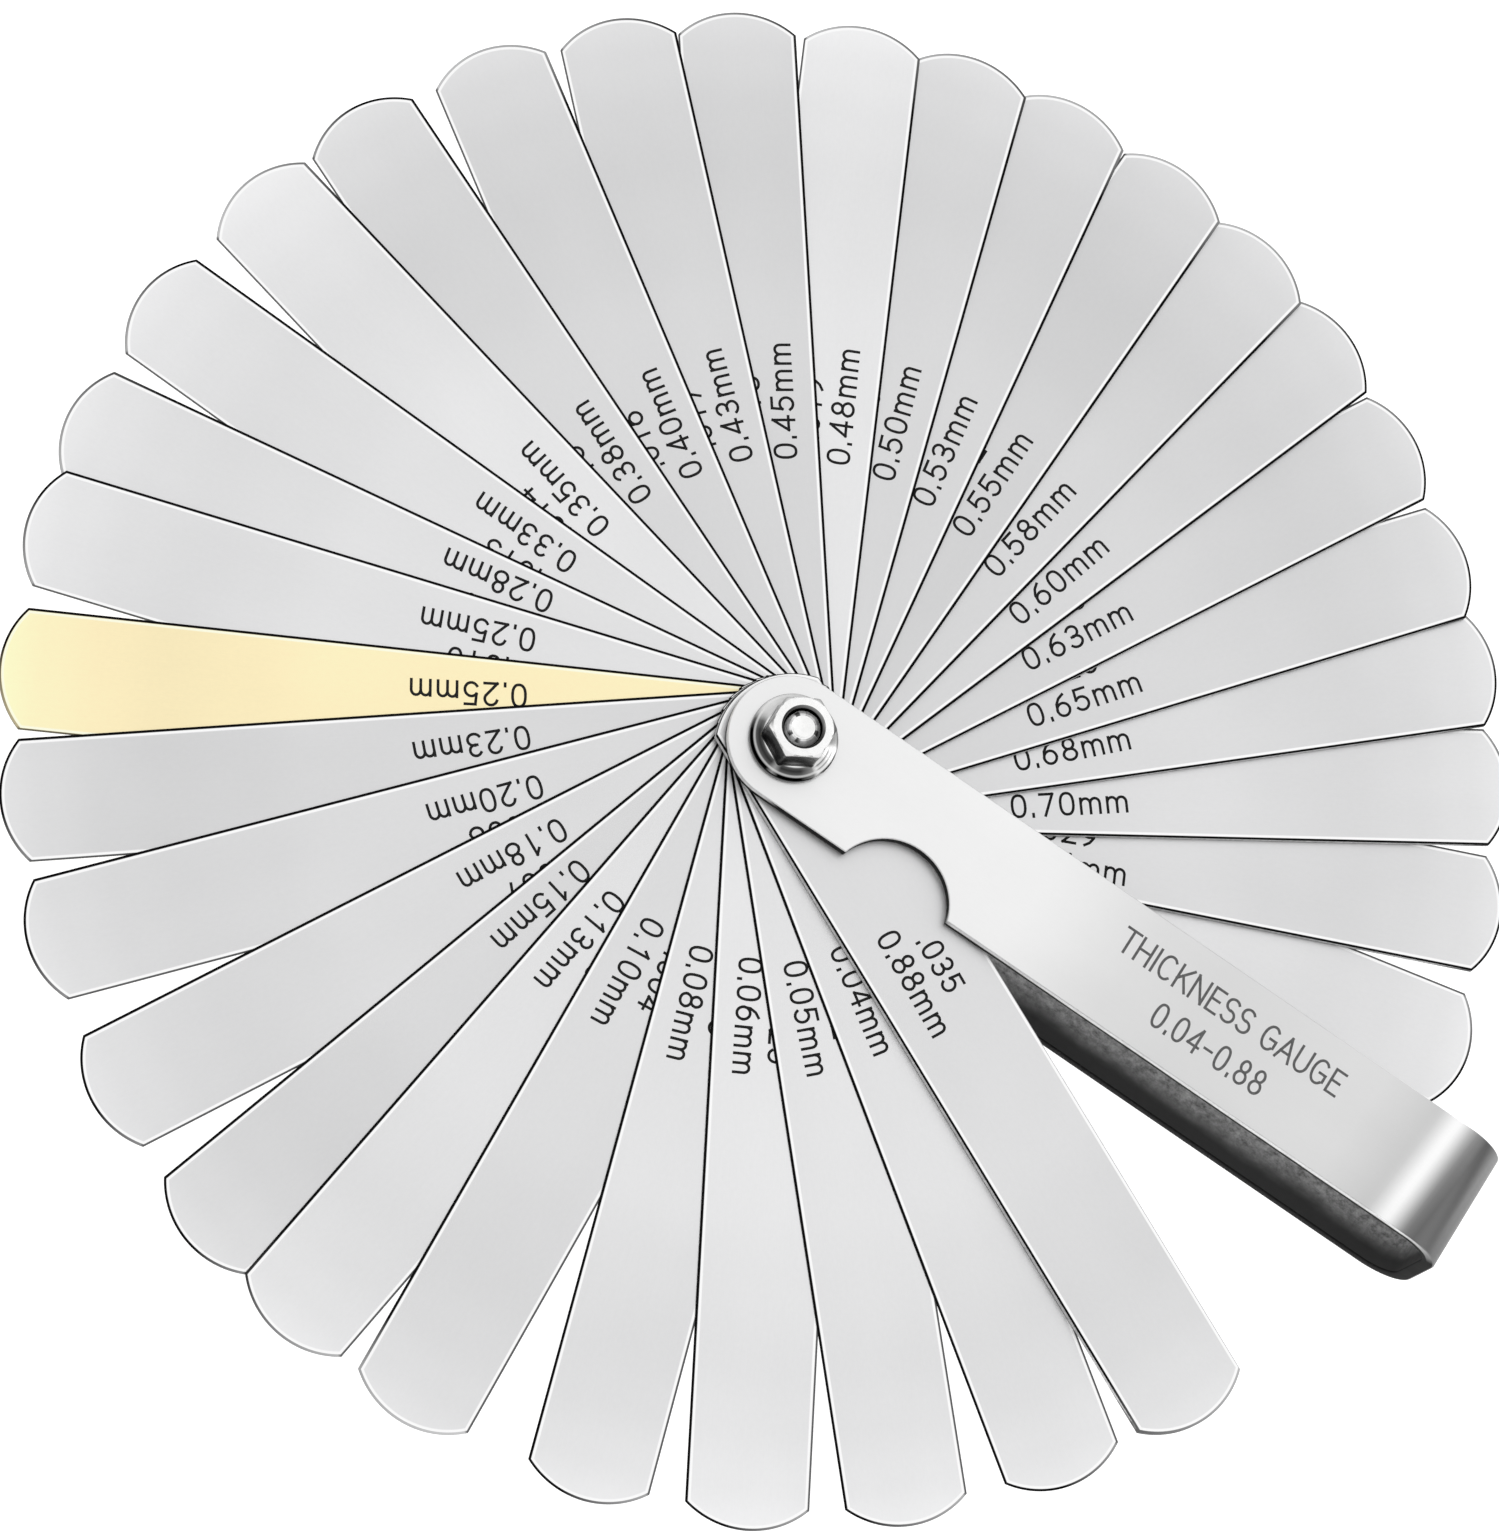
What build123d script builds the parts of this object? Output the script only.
from build123d import *
import math
import os

# Feeler gauge: 32 leaves of known thickness fanned out on one pivot, in a holder
# bent from steel strap. Units mm, +Z up.
# Origin: the pivot axis, at the flat outer face of the bolt's head, on which
# the gauge rests when it lies on its back.
# +X runs along the holder from the pivot to its bend, +Z runs along the pivot
# from the bolt's head to the nut.
# The pieces are modelled with z = 0 at the outer face of the holder's back plate,
# and are lifted by the head's height on export.

CUT_OVERRUN = 1.0         # how far cutting shapes reach past the material

# ---- holder ----
strap_t = 1.5             # strap thickness
holder_w = 13.5           # strap width
holder_h = 17.3           # outside height, back plate to front plate
holder_reach = 85.6       # pivot axis to the outside of the bend
bend_r = 4.9              # outside radius of each corner of the bend
notch_r = 6.55            # thumb notch in the -Y edge of both plates
notch_x = 17.2
notch_y = -8.6
holder_hole_d = 4.2

# ---- leaves ----
leaf_w = 12.7
leaf_reach = 81.0         # pivot axis to the end of the leaf
tip_r = 9.4               # radius of the leaf's end
root_back = 7.2           # pivot axis to the back of the leaf
root_r = 8.5              # radius of the leaf's back
leaf_hole_d = 4.15

# name, thickness, rest angle from +X (degrees), from the nut side down
leaves = [
    ("blade_088", 0.88, 334.5), ("blade_004", 0.04, 323.7),
    ("blade_005", 0.05, 311.5), ("blade_006", 0.06, 299.6),
    ("blade_008", 0.08, 287.7), ("blade_010", 0.10, 273.7),
    ("blade_013", 0.13, 263.0), ("blade_015", 0.15, 253.9),
    ("blade_018", 0.18, 242.0), ("blade_020", 0.20, 229.9),
    ("blade_023", 0.23, 219.3), ("blade_025_brass", 0.25, 209.3),
    ("blade_025_steel", 0.25, 198.3), ("blade_028", 0.28, 189.7),
    ("blade_033", 0.33, 178.7), ("blade_035", 0.35, 167.1),
    ("blade_038", 0.38, 157.1), ("blade_040", 0.40, 145.8),
    ("blade_043", 0.43, 135.3), ("blade_045", 0.45, 125.8),
    ("blade_048", 0.48, 115.8), ("blade_050", 0.50, 106.9),
    ("blade_053", 0.53, 98.2), ("blade_055", 0.55, 88.8),
    ("blade_058", 0.58, 79.8), ("blade_060", 0.60, 71.2),
    ("blade_063", 0.63, 61.7), ("blade_065", 0.65, 51.9),
    ("blade_068", 0.68, 43.3), ("blade_070", 0.70, 33.9),
    ("blade_074", 0.74, 23.9), ("blade_080", 0.80, 12.9),
]
stack_h = sum(thickness for _, thickness, _ in leaves)
inside_h = holder_h - 2 * strap_t
leaf_gap = (inside_h - stack_h) / (len(leaves) + 1)   # running gap between leaves

# ---- flange nut (M4) ----
nut_af = 6.2              # across flats
nut_h = 5.6
nut_turn = 2.0            # direction of the first flat, degrees from +X
nut_end_r = nut_af / 2 * 0.97   # radius of the flat outer end
nut_chamfer_h = 0.62      # height of the turned chamfer, taken just past the corners
nut_corner_margin = 0.1
flange_d = 9.3
flange_edge_h = 0.9       # height of the flange's rim
flange_cone_h = 1.7       # height of the top of the flange's slope
flange_cone_inset = 0.2   # top of the slope, inside the flats
flange_bevel = 0.15       # bevels of the rim
flange_foot_inset = 0.12  # radial width of the bevel next to the holder
nut_bore_d = 4.05
nut_sink = 0.25           # 45 degree countersink at the nut's outer end

# ---- pivot bolt (M4) ----
bolt_d = 4.0
bolt_head_d = 7.6
bolt_head_h = 1.6
bolt_head_edge = 0.45     # chamfer around the head's outer face
bolt_chamfer = 0.55
bolt_past_nut = -0.3      # end of the bolt against the nut's outer face
cup_d = 2.4               # shallow cup in the end of the bolt
cup_depth = 0.3


def make_holder():
    """U section along X, cut to its plan outline from above."""
    free_end = -holder_w / 2
    bend_x = holder_reach - bend_r          # where the plates run into the bend
    upper_z = holder_h - bend_r             # where the end wall meets the upper corner
    inner_x = holder_reach - strap_t
    inner_top = holder_h - strap_t
    inner_r = bend_r - strap_t
    with BuildPart() as part:
        with BuildSketch(Plane.XZ.offset(-holder_w / 2)):
            with BuildLine():
                # outside, from the back plate round to the front plate
                Line((free_end, 0), (bend_x, 0))
                RadiusArc((bend_x, 0), (holder_reach, bend_r), -bend_r)
                Line((holder_reach, bend_r), (holder_reach, upper_z))
                RadiusArc((holder_reach, upper_z), (bend_x, holder_h), -bend_r)
                Line((bend_x, holder_h), (free_end, holder_h))
                Line((free_end, holder_h), (free_end, inner_top))
                # inside, back again
                Line((free_end, inner_top), (bend_x, inner_top))
                RadiusArc((bend_x, inner_top), (inner_x, upper_z), inner_r)
                Line((inner_x, upper_z), (inner_x, bend_r))
                RadiusArc((inner_x, bend_r), (bend_x, strap_t), inner_r)
                Line((bend_x, strap_t), (free_end, strap_t))
                Line((free_end, strap_t), (free_end, 0))
            make_face()
        extrude(amount=holder_w)
        # plan outline: half-round free ends, thumb notch, pivot hole
        plan_length = holder_reach + CUT_OVERRUN
        with BuildSketch(Plane.XY):
            Circle(holder_w / 2)
            with Locations((plan_length / 2, 0)):
                Rectangle(plan_length, holder_w)
            with Locations((notch_x, notch_y)):
                Circle(notch_r, mode=Mode.SUBTRACT)
            Circle(holder_hole_d / 2, mode=Mode.SUBTRACT)
        extrude(amount=holder_h, mode=Mode.INTERSECT)
    return part.part


def make_leaf(thickness, angle, z):
    """Leaf with its lower face at z, swung by angle about the pivot."""
    half = leaf_w / 2
    # x of the corners at each end, set back from the crown of the arc
    tip_x = leaf_reach - (tip_r - math.sqrt(tip_r**2 - half**2))
    root_x = -root_back + (root_r - math.sqrt(root_r**2 - half**2))
    with BuildPart() as part:
        with BuildSketch(Plane.XY.offset(z)):
            with BuildLine():
                Line((root_x, -half), (tip_x, -half))
                ThreePointArc((tip_x, -half), (leaf_reach, 0), (tip_x, half))
                Line((tip_x, half), (root_x, half))
                ThreePointArc((root_x, half), (-root_back, 0), (root_x, -half))
            make_face()
            Circle(leaf_hole_d / 2, mode=Mode.SUBTRACT)
        extrude(amount=thickness)
    return part.part.rotate(Axis.Z, angle)


def make_bolt():
    """Plain low head below the holder, shank, cupped end."""
    head_r = bolt_head_d / 2
    shank_r = bolt_d / 2
    end_z = holder_h + nut_h + bolt_past_nut
    # the cup is part of a sphere centred above the bolt's end
    cup_rim_r = cup_d / 2
    cup_mid_r = cup_d / 4
    sphere_r = (cup_rim_r**2 + cup_depth**2) / (2 * cup_depth)
    sphere_z = end_z - cup_depth + sphere_r
    with BuildPart() as part:
        with BuildSketch(Plane.XZ):
            with BuildLine():
                Polyline(
                    (0, -bolt_head_h),
                    (head_r - bolt_head_edge, -bolt_head_h),
                    (head_r, -bolt_head_h + bolt_head_edge),
                    (head_r, 0),
                    (shank_r, 0),
                    (shank_r, end_z - bolt_chamfer),
                    (shank_r - bolt_chamfer, end_z),
                    (cup_rim_r, end_z),
                )
                ThreePointArc(
                    (cup_rim_r, end_z),
                    (cup_mid_r, sphere_z - math.sqrt(sphere_r**2 - cup_mid_r**2)),
                    (0, end_z - cup_depth),
                )
                Line((0, end_z - cup_depth), (0, -bolt_head_h))
            make_face()
        revolve(axis=Axis.Z)
    return part.part


def make_nut():
    """Hexagon with turned outer corners on a sloped flange, on the front plate."""
    base = holder_h
    top = base + nut_h
    corner_r = nut_af / math.sqrt(3)
    blank_r = corner_r + nut_corner_margin
    flange_r = flange_d / 2
    rim_z = base + flange_edge_h
    cone_z = base + flange_cone_h
    bore_r = nut_bore_d / 2
    sink_r = bore_r + nut_sink

    # half profiles as (radius, z)
    chamfer = [(0, base), (blank_r, base), (blank_r, top - nut_chamfer_h),
               (nut_end_r, top), (0, top)]
    flange = [(0, base), (flange_r - flange_foot_inset, base),
              (flange_r, base + flange_bevel), (flange_r, rim_z - flange_bevel),
              (flange_r - flange_bevel, rim_z),
              (nut_af / 2 - flange_cone_inset, cone_z), (0, cone_z)]
    bore = [(0, base - CUT_OVERRUN), (bore_r, base - CUT_OVERRUN),
            (bore_r, top - nut_sink), (sink_r, top),
            (sink_r + CUT_OVERRUN, top + CUT_OVERRUN), (0, top + CUT_OVERRUN)]

    with BuildPart() as part:
        with BuildSketch(Plane.XY.offset(base)):
            RegularPolygon(corner_r, 6, rotation=30 + nut_turn)
        extrude(amount=nut_h)
        for profile, mode in ((chamfer, Mode.INTERSECT), (flange, Mode.ADD),
                              (bore, Mode.SUBTRACT)):
            with BuildSketch(Plane.XZ):
                with BuildLine():
                    Polyline(*profile, close=True)
                make_face()
            revolve(axis=Axis.Z, mode=mode)
    return part.part


pieces = {"holder": make_holder(), "pivot_bolt": make_bolt(), "flange_nut": make_nut()}
leaf_top = holder_h - strap_t - leaf_gap
for name, thickness, angle in leaves:
    pieces[name] = make_leaf(thickness, angle, leaf_top - thickness)
    leaf_top -= thickness + leaf_gap

os.makedirs("parts", exist_ok=True)
for name, piece in pieces.items():
    lifted = Pos(0, 0, bolt_head_h) * piece
    lifted.label = name
    export_step(lifted, f"parts/{name}.step")
